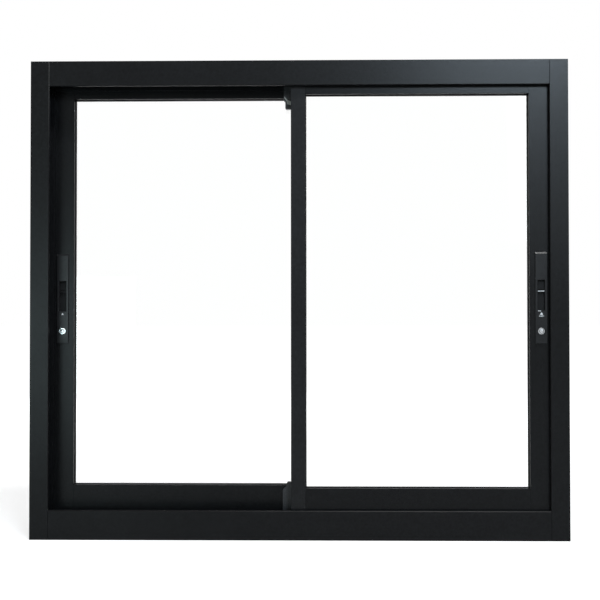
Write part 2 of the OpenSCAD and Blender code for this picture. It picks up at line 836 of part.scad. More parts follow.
module inner_glass() {
    color("#dfe8ea") inner_place() glass();
}

module inner_setting_blocks() {
    color("#3a3b3d") inner_place() setting_blocks();
}

module inner_gasket_room() {
    color("#1c1c1d") inner_place() gasket(bead_w);
}

module inner_gasket_out() {
    color("#1c1c1d") inner_place() mirror([0, 1, 0]) gasket(bead_back);
}

module inner_roller_housings() {
    color("#3a3b3d") inner_place() roller_housings();
}

module inner_rollers() {
    color("#d9d6cc") inner_place() rollers();
}

module inner_lock_plate() {
    color("#26282b") inner_place() lock_plate();
}

module inner_lock_case() {
    color("#26282b") inner_place() lock_case();
}

module inner_lock_slide() {
    color("#1f2022") inner_place() lock_slide();
}

module inner_lock_screw() {
    color("#c9cccf") inner_place() lock_screw();
}

module inner_lock_hook() {
    color("#9b9da0") inner_place() lock_hook();
}

// the pile strip on the hook closes the gap to the hook of the outer sash
module inner_pile() {
    color("#4a4b4d") {
        inner_place() {
            pile_face(face_gap, sill_h - 4 - pile_w);
            mirror([0, 1, 0]) pile_face(mid_gap, mid_h - 3 - pile_w);
        }
        block(-2, 2, out_y - half_t - hook_out + hook_t + fit, in_y + half_t + hook_out - hook_t,
            sill_block_top + 2, head_low - head_block_drop - 2);
    }
}

module outer_lock_stile() {
    color("#303236") outer_place() lock_stile();
}

module outer_meeting_stile() {
    color("#303236") outer_place() meeting_stile(-1);
}

module outer_top_rail() {
    color("#303236") outer_place() top_rail();
}

module outer_bottom_rail() {
    color("#303236") outer_place() bottom_rail();
}

module outer_glass() {
    color("#dfe8ea") outer_place() glass();
}

module outer_setting_blocks() {
    color("#3a3b3d") outer_place() setting_blocks();
}

module outer_gasket_room() {
    color("#a4a7a9") outer_place() gasket(bead_w);
}

module outer_gasket_out() {
    color("#a4a7a9") outer_place() mirror([0, 1, 0]) gasket(bead_back);
}

module outer_roller_housings() {
    color("#3a3b3d") outer_place() roller_housings();
}

module outer_rollers() {
    color("#d9d6cc") outer_place() rollers();
}

module outer_lock_plate() {
    color("#26282b") outer_place() lock_plate();
}

module outer_lock_case() {
    color("#26282b") outer_place() lock_case();
}

module outer_lock_slide() {
    color("#1f2022") outer_place() lock_slide();
}

module outer_lock_screw() {
    color("#c9cccf") outer_place() lock_screw();
}

module outer_lock_hook() {
    color("#9b9da0") outer_place() lock_hook();
}

module outer_pile() {
    color("#4a4b4d") outer_place() {
        pile_face(mid_gap, mid_h - 3 - pile_w);
        mirror([0, 1, 0]) pile_face(face_gap, rear_h - 2 - pile_w);
    }
}

head();
sill();
left_jamb();
right_jamb();
head_block();
sill_block();
left_keeper();
right_keeper();
drain_covers();
head_stops();
jamb_buffers();
inner_lock_stile();
inner_meeting_stile();
inner_top_rail();
inner_bottom_rail();
inner_glass();
inner_setting_blocks();
inner_gasket_room();
inner_gasket_out();
inner_roller_housings();
inner_rollers();
inner_lock_plate();
inner_lock_case();
inner_lock_slide();
inner_lock_screw();
inner_lock_hook();
inner_pile();
outer_lock_stile();
outer_meeting_stile();
outer_top_rail();
outer_bottom_rail();
outer_glass();
outer_setting_blocks();
outer_gasket_room();
outer_gasket_out();
outer_roller_housings();
outer_rollers();
outer_lock_plate();
outer_lock_case();
outer_lock_slide();
outer_lock_screw();
outer_lock_hook();
outer_pile();
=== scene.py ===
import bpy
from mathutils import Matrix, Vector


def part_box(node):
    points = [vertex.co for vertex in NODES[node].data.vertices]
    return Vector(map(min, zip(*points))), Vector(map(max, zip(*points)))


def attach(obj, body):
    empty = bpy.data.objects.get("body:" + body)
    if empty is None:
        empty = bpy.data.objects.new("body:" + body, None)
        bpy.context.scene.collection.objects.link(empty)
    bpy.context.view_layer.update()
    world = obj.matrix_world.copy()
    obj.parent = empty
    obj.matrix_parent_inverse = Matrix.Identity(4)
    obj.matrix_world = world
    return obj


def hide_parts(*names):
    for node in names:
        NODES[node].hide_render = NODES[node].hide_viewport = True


bl_info = {
    "name": "Sliding Window Dresser",
    "version": (1, 0, 0),
    "blender": (4, 5, 0),
    "location": "3D View > Sidebar > Window",
    "description": "Dresses a two-track sliding window with its coats, glazing, fittings and screws",
    "category": "Object",
}

import math

import bmesh
import bpy
from bpy.props import FloatProperty, FloatVectorProperty, IntProperty, PointerProperty
from mathutils import Matrix, Vector

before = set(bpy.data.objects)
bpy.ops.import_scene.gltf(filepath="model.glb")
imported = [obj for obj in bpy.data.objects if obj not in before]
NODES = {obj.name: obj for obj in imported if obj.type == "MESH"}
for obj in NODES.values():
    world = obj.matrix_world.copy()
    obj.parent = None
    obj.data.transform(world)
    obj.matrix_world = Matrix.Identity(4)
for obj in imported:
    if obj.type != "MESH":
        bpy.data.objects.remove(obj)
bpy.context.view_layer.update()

MM = 0.001
BODY = "root"
SASHES = ("inner", "outer")

# Places that the solids keep, in metres.
JAMB_LO, JAMB_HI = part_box("right_jamb")
FRAME_X = JAMB_HI.x
POCKET_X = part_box("right_keeper")[1].x
SASH_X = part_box("inner_lock_stile")[1].x
FRAME_MID_Z = (JAMB_LO.z + JAMB_HI.z) / 2
TRACK_Y = {"inner": -0.021, "outer": 0.021}  # middle of each track
SIDE = {"inner": 1, "outer": -1}  # side of the frame where each closed sash stands
PORT_Y = 0.032  # screw ports of the sill and head, each way from the middle
PORT_Z = (0.011, 0.972)  # heights of the ports in the sill and head
FIXING_RISE = 0.31  # fixing holes, up and down from the middle of the jamb
SASH_PORT_Z = (0.061, 0.928)  # heights of the ports in the bottom and top rails
EDGE_CHANNEL = 0.010  # depth of the channel in the edge of a lock stile
PLATE_FACE_Y = {s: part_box(s + "_lock_plate")[0].y for s in SASHES}
LOCK_X = {s: sum(c.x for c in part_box(s + "_lock_plate")) / 2 for s in SASHES}

# Thin strip along the left jamb's inner edge at the corner joint, painted as a highlight that is bright at the
# top and dims downward; in metres below the top of the jamb and round its face.
EDGE_TOP, EDGE_END = 0.0005, 0.18
EDGE_BRIGHT, EDGE_DIM = 0.02, 0.16
EDGE_PROUD, EDGE_ROOT = 0.06 * MM, 0.3 * MM

# Marks of the locks, in millimetres from the middle of the triangle.
TRIANGLE = {"inner": (3.2, 2.6), "outer": (2.4, 2.2)}  # half its width, half its height
MARK_DROP = 6.2  # below the lower end of the thumb slide
MARK_BARS = ((-4.8, 4.8, -6.0, -4.7), (-6.8, -1.4, 4.4, 5.7))  # left, right, low, high
MARK_ROOT, MARK_CHAMFER = 0.2, 0.15
RIDGE_UP = 13.0  # foot of the ridge above the middle of the plate
# Light line on the ridge of the room-side thumb slide: a painted highlight where a glint falls.
RIDGE_HIGHLIGHT = (6.6, 0.2, 1.5)  # half its length, low and high above the foot
RIDGE_PROUD, RIDGE_ROOT = 0.12, 0.1

# Section of the dark ring of painted shade in the groove of the round screw, in millimetres: in from the rim of
# the screw, back from its face.
GROOVE_SHADE_SECTION = ((2.95, 1.1), (2.95, 0.7), (2.70, 0.55), (2.40, 0.7), (2.40, 1.1))
GROOVE_SHADE_SIDES = 40

# Small light-grey slanted pad with a felt texture, in millimetres from the lower left corner of the head block:
# right, up.
PAD_OUTLINE = ((0.8, 26.5), (0.8, 22.5), (5.5, 17.5), (7.0, 10.5), (14.5, 8.0), (14.5, 16.0), (7.0, 19.5))
PAD_PROUD, PAD_ROOT, PAD_CHAMFER = 0.45, 0.1, 0.2

# Screws in metres.
PORT_HEAD_H, FIXING_HEAD_H, CORNER_HEAD_H, KEEPER_HEAD_H = 1.4 * MM, 2.4 * MM, 2.2 * MM, 1.6 * MM
CORNER_HEAD_R, THIN_SHANK, FIXING_SHANK = 4.0 * MM, 1.7 * MM, 2.4 * MM
KEEPER_SCREW_IN = 8.0 * MM  # from the ends of the keeper

# Studio in metres: the floor's glow rises from dim to full between two distances.
FLOOR_HALF = 60.0
GLOW_FROM, GLOW_TO, GLOW_DIM, GLOW_FULL = 0.9, 2.8, 0.74, 1.0
FLOOR_SEEN_GREY, FLOOR_PLAIN_GREY = 0.40, 0.55
SENSOR_MM, PICTURE_PX = 36.0, 600.0

# Lamps: name, setting that holds the power, place, target, width and height, tint.
LAMPS = (
    ("Key light", "key", (1.1, -3.5, 2.06), (0.3, 0, 0.7), (0.7, 0.7), (0.72, 0.87, 1.0)),
    ("Side light", "side", (1.52, -3.5, 1.32), (0.3, 0, 0.7), (0.9, 0.9), (0.85, 0.94, 1.0)),
    ("Left light", "left", (-1.6, -3.5, 0.36), (0.0, 0, 0.4), (1.3, 0.66), (0.74, 0.97, 1.0)),
    ("Overhead light", "overhead", (0.50, -1.06, 2.7), (0.35, -0.03, 0.55), (1.4, 0.35), (1.0, 1.0, 1.0)),
    ("Rear light", "rear", (-1.1, 3.6, 1.7), (0.0, 0, 0.5), (3.0, 2.2), (1.0, 1.0, 1.0)),
)


# ---------------------------------------------------------------- settings

def colour(name, description, default):
    return FloatVectorProperty(name=name, description=description, default=default,
                               subtype="COLOR", min=0.0, max=1.0)


def length(name, description, default):
    return FloatProperty(name=name, description=description, default=default,
                         min=0.0, subtype="DISTANCE", unit="LENGTH")


def watts(name, description, default):
    return FloatProperty(name=name, description=description + " in watts", default=default, min=0.0)


class WindowColours(bpy.types.PropertyGroup):
    frame_coat: colour("Frame coat", "Powder coat of the frame profiles", (0.0035, 0.0037, 0.0040))
    sash_coat: colour("Sash coat", "Powder coat of the sash profiles", (0.0033, 0.0035, 0.0038))
    # Painted light: a lighter, glossier copy of the sash coat, for the light that falls on the meeting stiles.
    stile_coat: colour("Meeting stile coat", "Powder coat of the meeting stiles, painted lighter for the light on them", (0.0052, 0.0054, 0.0059))
    lock_coat: colour("Lock coat", "Smooth coat of the lock plates and cases", (0.0060, 0.0063, 0.0068))
    slide_plastic: colour("Slide plastic", "Plastic of the thumb slides", (0.0036, 0.0037, 0.0040))
    block_plastic: colour("Block plastic", "Plastic of the stops, housings and covers", (0.0120, 0.0124, 0.0134))
    # Painted light: lighter than the other black plastic, for the light that falls on the wind blocks in their
    # shaded place between the sashes.
    wind_block_lit_plastic: colour("Wind block plastic", "Plastic of the two wind blocks, painted lighter for the light on them", (0.0220, 0.0228, 0.0240))
    wheel_plastic: colour("Wheel plastic", "Nylon of the roller wheels", (0.72, 0.70, 0.63))
    black_rubber: colour("Black rubber", "Black gaskets and closing pads", (0.0040, 0.0040, 0.0044))
    # Painted light: the light grey stands for the daylight from outside falling on this gasket.
    outer_gasket_lit_grey: colour("Outer gasket, painted lit", "Outside gasket of the outer sash, painted light grey for the daylight on it", (0.46, 0.46, 0.46))
    zinc: colour("Zinc", "Plating of the screws, hooks and keepers", (0.44, 0.45, 0.46))
    chrome: colour("Chrome", "Plating of the round lock screws", (0.36, 0.37, 0.38))
    glass: colour("Glass", "Tint of the glass", (0.994, 1.0, 0.997))
    pile: colour("Pile", "Yarn of the pile strips", (0.030, 0.030, 0.033))
    # Colour of a painted highlight on the left jamb's edge at the corner joint.
    edge_highlight_colour: colour("Bare edge", "Colour of the painted highlight along the jamb's edge at the corner joint", (0.060, 0.058, 0.055))
    felt: colour("Felt", "Felt pad on the head block", (0.25, 0.24, 0.22))
    # Also paints the highlight line on the ridge of the room-side lock.
    mark: colour("Lock marks and ridge highlight", "Paint of the small marks on the locks and of the painted highlight on the ridge", (0.42, 0.43, 0.44))


class WindowSizes(bpy.types.PropertyGroup):
    port_screw: length("Port screw head", "Radius of the flush screw heads in the jambs", 2.4 * MM)
    fixing_screw: length("Fixing screw head", "Radius of the pan heads in the jamb pockets", 3.7 * MM)
    keeper_screw: length("Keeper screw head", "Radius of the pan heads on the keepers", 3.4 * MM)
    pile_backing: length("Pile backing", "Thickness of the woven backing of the pile", 0.7 * MM)
    pile_tuft: length("Pile tuft", "Width of one tuft of the pile", 1.3 * MM)
    pile_gap: length("Pile spacing", "Smallest distance between two tufts", 1.15 * MM)
    edge_width: length("Edge highlight", "Width of the strip with the painted edge highlight at the corner joint", 0.7 * MM)
    mark_rise: length("Mark height", "How far the marks stand off the lock plate", 0.25 * MM)
    seed: IntProperty(name="Seed", description="Seed of everything random", default=7, min=0)


class StudioSettings(bpy.types.PropertyGroup):
    distance: length("Camera distance", "Distance of the camera from the room face", 2.1277)
    height: length("Camera height", "Height of the camera above the floor", 0.4510)
    aside: length("Camera offset", "Distance of the camera to the right of the middle", 0.0391)
    focal_px: FloatProperty(name="Focal length", description="Focal length in pixels of a 600 pixel picture",
                            default=1043.8, min=100.0)
    pitch: FloatProperty(name="Pitch", description="Upward tilt of the camera", default=0.01776,
                         subtype="ANGLE", unit="ROTATION")
    yaw: FloatProperty(name="Yaw", description="Turn of the camera to the left", default=0.01688,
                       subtype="ANGLE", unit="ROTATION")
    roll: FloatProperty(name="Roll", description="Roll of the camera", default=-0.00075,
                        subtype="ANGLE", unit="ROTATION")
    key: watts("Key light", "Power of the softbox at the upper right", 98.0)
    side: watts("Side light", "Power of the panel at the right", 9.0)
    left: watts("Left light", "Power of the panel at the left", 30.0)
    overhead: watts("Overhead light", "Power of the strip above the room face at the right", 84.0)
    rear: watts("Rear light", "Power of the panel behind the window", 80.0)
    surround: FloatProperty(name="Surround", description="Strength of the pale room round the object",
                            default=0.12, min=0.0)


# ---------------------------------------------------------------- materials

class Finish:
    """A node material round one Principled shader, read in object coordinates."""

    def __init__(self, name, base, roughness, metallic=0.0, gloss=0.5):
        self.material = bpy.data.materials.new(name)
        self.material.use_nodes = True
        self.tree = self.material.node_tree
        self.tree.nodes.clear()
        self.shader = self.node("ShaderNodeBsdfPrincipled")
        self.shader.inputs["Base Color"].default_value = (*base, 1.0)
        self.shader.inputs["Roughness"].default_value = roughness
        self.shader.inputs["Metallic"].default_value = metallic
        self.shader.inputs["Specular IOR Level"].default_value = gloss
        out = self.node("ShaderNodeOutputMaterial")
        self.link(self.shader.outputs["BSDF"], out.inputs["Surface"])
        self.place = self.node("ShaderNodeTexCoord").outputs["Object"]
        self.base = base
        self.last_bump = None

    def node(self, kind, **settings):
        made = self.tree.nodes.new(kind)
        for key, value in settings.items():
            setattr(made, key, value)
        return made

    def link(self, a, b):
        self.tree.links.new(a, b)

    def noise(self, scale, detail=2.0, stretch=(1, 1, 1), roughness=0.5):
        mapping = self.node("ShaderNodeMapping")
        mapping.inputs["Scale"].default_value = stretch
        self.link(self.place, mapping.inputs["Vector"])
        made = self.node("ShaderNodeTexNoise")
        made.inputs["Scale"].default_value = scale
        made.inputs["Detail"].default_value = detail
        made.inputs["Roughness"].default_value = roughness
        self.link(mapping.outputs["Vector"], made.inputs["Vector"])
        return made.outputs["Fac"]

    def levels(self, value, low, high, to_low, to_high):
        made = self.node("ShaderNodeMapRange")
        for name, number in (("From Min", low), ("From Max", high), ("To Min", to_low), ("To Max", to_high)):
            made.inputs[name].default_value = number
        self.link(value, made.inputs["Value"])
        return made.outputs["Result"]

    def maths(self, operation, a, b):
        made = self.node("ShaderNodeMath", operation=operation)
        for socket, value in zip(made.inputs, (a, b)):
            if isinstance(value, (int, float)):
                socket.default_value = value
            else:
                self.link(value, socket)
        return made.outputs[0]

    def tint(self, *factors):
        """Multiplies the base colour by the factors, which are outputs near 1."""
        total = factors[0]
        for factor in factors[1:]:
            total = self.maths("MULTIPLY", total, factor)
        made = self.node("ShaderNodeVectorMath", operation="SCALE")
        made.inputs[0].default_value = self.base
        self.link(total, made.inputs["Scale"])
        self.link(made.outputs[0], self.shader.inputs["Base Color"])

    def rough(self, value):
        self.link(value, self.shader.inputs["Roughness"])

    def bump(self, height, depth, strength):
        made = self.node("ShaderNodeBump")
        made.inputs["Strength"].default_value = strength
        made.inputs["Distance"].default_value = depth
        self.link(height, made.inputs["Height"])
        if self.last_bump:
            self.link(self.last_bump, made.inputs["Normal"])
        self.last_bump = made.outputs["Normal"]
        self.link(self.last_bump, self.shader.inputs["Normal"])

    def upward(self):
        """Rises from 0 to 1 on faces that look up, where dust settles."""
        normal = self.node("ShaderNodeNewGeometry").outputs["Normal"]
        split = self.node("ShaderNodeSeparateXYZ")
        self.link(normal, split.inputs[0])
        return self.levels(split.outputs["Z"], 0.6, 1.0, 0.0, 1.0)


def powder_coat(name, base, axis, roughness=0.29, gloss=0.08):
    """Satin powder coat: fine orange peel, faint draw lines along the profile and a little dust."""
    finish = Finish(name, base, roughness, gloss=gloss)
    along = tuple(0.012 if i == axis else 1.0 for i in range(3))
    peel = finish.noise(620.0, 3.0)
    grain = finish.noise(2600.0, 1.0)
    lines = finish.noise(420.0, 3.0, along, 0.6)
    broad = finish.noise(3.2, 3.0)
    mottle = finish.noise(210.0, 2.0)
    finish.tint(finish.levels(broad, 0.3, 0.7, 0.90, 1.10),
                finish.levels(mottle, 0.3, 0.7, 0.70, 1.30),
                finish.levels(grain, 0.3, 0.7, 0.86, 1.14),
                finish.levels(lines, 0.3, 0.7, 0.95, 1.05))
    uneven = finish.maths("ADD", finish.levels(broad, 0.3, 0.7, roughness - 0.035, roughness + 0.035),
                          finish.levels(grain, 0.3, 0.7, -0.03, 0.03))
    dusty = finish.maths("MULTIPLY", finish.upward(), finish.levels(peel, 0.35, 0.7, 0.02, 0.14))
    finish.rough(finish.maths("ADD", uneven, dusty))
    finish.bump(mottle, 0.00025, 0.30)
    finish.bump(peel, 0.00010, 0.35)
    finish.bump(lines, 0.00006, 0.25)
    return finish.material


def smooth_coat(name, base, roughness=0.30, gloss=0.12):
    """Smooth coat of the lock parts, with faint cloudiness and rubbed spots."""
    finish = Finish(name, base, roughness, gloss=gloss)
    cloud = finish.noise(60.0, 4.0)
    grain = finish.noise(1800.0, 2.0)
    rubbed = finish.noise(22.0, 5.0, roughness=0.7)
    finish.tint(finish.levels(cloud, 0.3, 0.7, 0.92, 1.10), finish.levels(grain, 0.3, 0.7, 0.92, 1.08))
    finish.rough(finish.maths("ADD", finish.levels(rubbed, 0.35, 0.7, roughness + 0.05, roughness - 0.07),
                              finish.levels(grain, 0.3, 0.7, -0.02, 0.02)))
    finish.bump(grain, 0.00004, 0.3)
    return finish.material


def moulded(name, base, roughness=0.5, gloss=0.12):
    """Moulded plastic with a fine spark texture."""
    finish = Finish(name, base, roughness, gloss=gloss)
    grain = finish.noise(1500.0, 2.0)
    flow = finish.noise(35.0, 3.0)
    finish.tint(finish.levels(flow, 0.3, 0.7, 0.92, 1.08), finish.levels(grain, 0.3, 0.7, 0.9, 1.1))
    finish.rough(finish.maths("ADD", finish.levels(flow, 0.3, 0.7, roughness - 0.05, roughness + 0.05),
                              finish.levels(grain, 0.3, 0.7, -0.04, 0.04)))
    finish.bump(grain, 0.00008, 0.4)
    return finish.material


def rubber(name, base, roughness=0.62):
    """Extruded rubber: matt, with fine lines and a bloom of chalk."""
    finish = Finish(name, base, roughness, gloss=0.04)
    grain = finish.noise(1300.0, 3.0)
    bloom = finish.noise(18.0, 4.0)
    finish.tint(finish.levels(bloom, 0.3, 0.7, 0.90, 1.10), finish.levels(grain, 0.3, 0.7, 0.93, 1.07))
    finish.rough(finish.levels(bloom, 0.3, 0.7, roughness - 0.06, roughness + 0.08))
    finish.bump(grain, 0.00006, 0.4)
    return finish.material


def plated(name, base, roughness, scratch=0.10):
    """Plated metal with fine scratches and a slight cloud in its shine."""
    finish = Finish(name, base, roughness, 1.0)
    lines = finish.noise(900.0, 3.0, (1.0, 1.0, 0.06))
    cloud = finish.noise(140.0, 4.0)
    finish.tint(finish.levels(cloud, 0.3, 0.7, 0.94, 1.05))
    finish.rough(finish.maths("ADD", finish.levels(cloud, 0.3, 0.7, roughness - 0.03, roughness + 0.05),
                              finish.levels(lines, 0.4, 0.7, 0.0, scratch)))
    finish.bump(lines, 0.00002, 0.3)
    return finish.material


def float_glass(name, base):
    """Clear float glass, faintly uneven."""
    finish = Finish(name, base, 0.0)
    finish.shader.inputs["IOR"].default_value = 1.45
    finish.shader.inputs["Transmission Weight"].default_value = 1.0
    finish.bump(finish.noise(2.5, 1.0), 0.0002, 0.02)
    return finish.material


def woven(name, base, scale=900.0):
    """Yarn or felt: soft, rough and uneven from fibre to fibre."""
    finish = Finish(name, base, 0.9, gloss=0.12)
    finish.shader.inputs["Sheen Weight"].default_value = 0.1
    finish.shader.inputs["Sheen Roughness"].default_value = 0.5
    fibre = finish.noise(scale, 4.0, roughness=0.7)
    patch = finish.noise(60.0, 3.0)
    finish.tint(finish.levels(fibre, 0.3, 0.7, 0.65, 1.35), finish.levels(patch, 0.3, 0.7, 0.85, 1.15))
    finish.rough(finish.levels(fibre, 0.3, 0.7, 0.82, 0.98))
    finish.bump(fibre, 0.0003, 0.6)
    return finish.material


def material(name, maker, *args, **kwargs):
    """The material of that name, made by the maker when it isn't there yet."""
    return bpy.data.materials.get(name) or maker(name, *args, **kwargs)


def dress(node, finish):
    """Gives every face of a CAD node the finish."""
    slots = NODES[node].material_slots
    if not slots:
        raise RuntimeError("CAD node without a material slot: " + node)
    for slot in slots:
        slot.material = finish


# ---------------------------------------------------------------- meshes

def new_piece(name, bm, finish):
    """Turns a bmesh into a finished piece that rides on the window."""
    bmesh.ops.recalc_face_normals(bm, faces=bm.faces)
    mesh = bpy.data.meshes.new(name)
    bm.to_mesh(mesh)
    bm.free()
    mesh.materials.append(finish)
    return finish_piece(bpy.data.objects.new(name, mesh))


def finish_piece(piece):
    """Puts a piece in the scene, where it rides on the window."""
    if piece.name not in bpy.context.scene.collection.objects:
        bpy.context.scene.collection.objects.link(piece)
    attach(piece, BODY)
    return piece


def islands(node):
    """The lowest and highest corner of each separate solid in a CAD node."""
    bm = bmesh.new()
    bm.from_mesh(NODES[node].data)
    bmesh.ops.remove_doubles(bm, verts=bm.verts, dist=1e-6)
    left, found = set(bm.verts), []
    while left:
        group, queue = [], [left.pop()]
        while queue:
            v = queue.pop()
            group.append(v.co.copy())
            for edge in v.link_edges:
                other = edge.other_vert(v)
                if other in left:
                    left.remove(other)
                    queue.append(other)
        found.append((Vector(map(min, zip(*group))), Vector(map(max, zip(*group)))))
    bm.free()
    return sorted(found, key=lambda pair: tuple(pair[0]))


def add_box(bm, low, high):
    low, high = Vector(low), Vector(high)
    made = bmesh.ops.create_cube(bm, size=1.0)["verts"]
    bmesh.ops.scale(bm, vec=high - low, verts=made)
    bmesh.ops.translate(bm, vec=(low + high) / 2, verts=made)
    return made


def add_prism(bm, outline, y_front, y_back, chamfer=0.0):
    """A plate drawn on the room side from (x, z) points, with an optional chamfer round its front."""
    middle = Vector((sum(x for x, z in outline) / len(outline), 0, sum(z for x, z in outline) / len(outline)))
    rings = []
    for y, shrink in ((y_back, 0.0), (y_front + chamfer, 0.0), (y_front, chamfer)):
        ring = []
        for x, z in outline:
            away = Vector((x, 0, z)) - middle
            step = away.normalized() * min(shrink * 1.4, away.length * 0.6)
            ring.append(bm.verts.new(middle + away - step + Vector((0, y, 0))))
        rings.append(ring)
    if not chamfer:
        for v in rings.pop():
            bm.verts.remove(v)
    count = len(outline)
    for a, b in zip(rings, rings[1:]):
        for i in range(count):
            bm.faces.new((a[i], a[(i + 1) % count], b[(i + 1) % count], b[i]))
    bm.faces.new(rings[0])
    bm.faces.new(rings[-1])


# ---------------------------------------------------------------- geometry nodes

def geometry_tree(name, inputs):
    """A tree with a geometry input and output and the named inputs for its sizes."""
    tree = bpy.data.node_groups.new(name, "GeometryNodeTree")
    tree.interface.new_socket("Geometry", in_out="INPUT", socket_type="NodeSocketGeometry")
    for label, kind, value in inputs:
        tree.interface.new_socket(label, in_out="INPUT", socket_type=kind).default_value = value
    tree.interface.new_socket("Geometry", in_out="OUTPUT", socket_type="NodeSocketGeometry")
    return tree, tree.nodes.new("NodeGroupInput"), tree.nodes.new("NodeGroupOutput")


class Nodes:
    """Short ways to add and join nodes in a tree."""

    def __init__(self, tree):
        self.tree = tree

    def add(self, kind, values=None, **settings):
        made = self.tree.nodes.new(kind)
        for key, value in settings.items():
            setattr(made, key, value)
        for socket, value in (values or {}).items():
            if isinstance(value, bpy.types.NodeSocket):
                self.tree.links.new(value, made.inputs[socket])
            else:
                made.inputs[socket].default_value = value
        return made

    def maths(self, operation, a, b=0.0):
        return self.add("ShaderNodeMath", {0: a, 1: b}, operation=operation).outputs[0]

    def vector(self, x=0.0, y=0.0, z=0.0):
        return self.add("ShaderNodeCombineXYZ", {0: x, 1: y, 2: z}).outputs[0]


def grow(name, carrier_bm, tree, values):
    """Runs a tree on a carrier mesh and keeps the result as a plain mesh piece."""
    mesh = bpy.data.meshes.new(name)
    carrier_bm.to_mesh(mesh)
    carrier_bm.free()
    piece = bpy.data.objects.new(name, mesh)
    bpy.context.scene.collection.objects.link(piece)
    modifier = piece.modifiers.new("grow", "NODES")
    modifier.node_group = tree
    for item in tree.interface.items_tree:
        if item.in_out == "INPUT" and item.name in values:
            modifier[item.identifier] = values[item.name]
    ready = piece.evaluated_get(bpy.context.evaluated_depsgraph_get())
    made = bpy.data.meshes.new_from_object(ready)
    piece.modifiers.remove(modifier)
    piece.data = made
    made.name = name
    bpy.data.meshes.remove(mesh)
    if not made.polygons:
        raise RuntimeError("the tree made nothing for " + name)
    return finish_piece(piece)


def screw_tree(finish):
    """Cross-recessed screws on points: the facing attribute turns them, each one spun at random."""
    tree, given, out = geometry_tree("Cross screws", (
        ("Head radius", "NodeSocketFloat", 0.0024), ("Head height", "NodeSocketFloat", 0.0014),
        ("Shank radius", "NodeSocketFloat", 0.0017), ("Shank length", "NodeSocketFloat", 0.012),
        ("Seed", "NodeSocketInt", 7)))
    k = Nodes(tree)
    radius, height = given.outputs["Head radius"], given.outputs["Head height"]
    drum = k.add("GeometryNodeMeshCylinder", {"Vertices": 24, "Radius": radius,
                                              "Depth": k.maths("MULTIPLY", height, 0.6)})
    lifted = k.add("GeometryNodeExtrudeMesh", {"Mesh": drum.outputs["Mesh"], "Selection": drum.outputs["Top"],
                                               "Offset Scale": k.maths("MULTIPLY", height, 0.4)})
    domed = k.add("GeometryNodeScaleElements", {"Geometry": lifted.outputs["Mesh"],
                                                "Selection": lifted.outputs["Top"], "Scale": 0.74})
    arm, wide, deep = (k.maths("MULTIPLY", radius, f) for f in (1.15, 0.22, 0.7))
    bars = [k.add("GeometryNodeMeshCube", {"Size": k.vector(a, b, deep)}).outputs["Mesh"]
            for a, b in ((arm, wide), (wide, arm))]
    cross = k.add("GeometryNodeJoinGeometry")
    for bar in bars:
        tree.links.new(k.add("GeometryNodeTransform", {
            "Geometry": bar, "Translation": k.vector(0.0, 0.0, height)}).outputs[0], cross.inputs[0])
    cut = k.add("GeometryNodeMeshBoolean", operation="DIFFERENCE")
    tree.links.new(domed.outputs[0], cut.inputs["Mesh 1"])
    tree.links.new(cross.outputs[0], cut.inputs["Mesh 2"])
    seated = k.add("GeometryNodeTransform", {"Geometry": cut.outputs[0],
                                             "Translation": k.vector(0.0, 0.0, k.maths("MULTIPLY", height, 0.3))})
    shank = k.add("GeometryNodeMeshCylinder", {"Vertices": 12, "Radius": given.outputs["Shank radius"],
                                               "Depth": given.outputs["Shank length"]})
    sunk = k.add("GeometryNodeTransform", {"Geometry": shank.outputs["Mesh"], "Translation": k.vector(
        0.0, 0.0, k.maths("MULTIPLY", given.outputs["Shank length"], -0.5))})
    screw = k.add("GeometryNodeJoinGeometry")
    tree.links.new(seated.outputs[0], screw.inputs[0])
    tree.links.new(sunk.outputs[0], screw.inputs[0])
    facing = k.add("GeometryNodeInputNamedAttribute", {"Name": "facing"}, data_type="FLOAT_VECTOR")
    turn = k.add("FunctionNodeAlignRotationToVector", {"Vector": facing.outputs["Attribute"]}, axis="Z")
    spin = k.add("FunctionNodeRandomValue", {2: 0.0, 3: math.pi, "Seed": given.outputs["Seed"]},
                 data_type="FLOAT")
    spun = k.add("FunctionNodeRotateRotation", {"Rotation": turn.outputs[0], "Rotate By": k.add(
        "FunctionNodeEulerToRotation", {0: k.vector(0.0, 0.0, spin.outputs[1])}).outputs[0]},
        rotation_space="LOCAL")
    placed = k.add("GeometryNodeInstanceOnPoints", {"Points": given.outputs["Geometry"],
                                                    "Instance": screw.outputs[0], "Rotation": spun.outputs[0]})
    real = k.add("GeometryNodeRealizeInstances", {"Geometry": placed.outputs[0]})
    dressed = k.add("GeometryNodeSetMaterial", {"Geometry": real.outputs[0], "Material": finish})
    tree.links.new(dressed.outputs[0], out.inputs[0])
    return tree


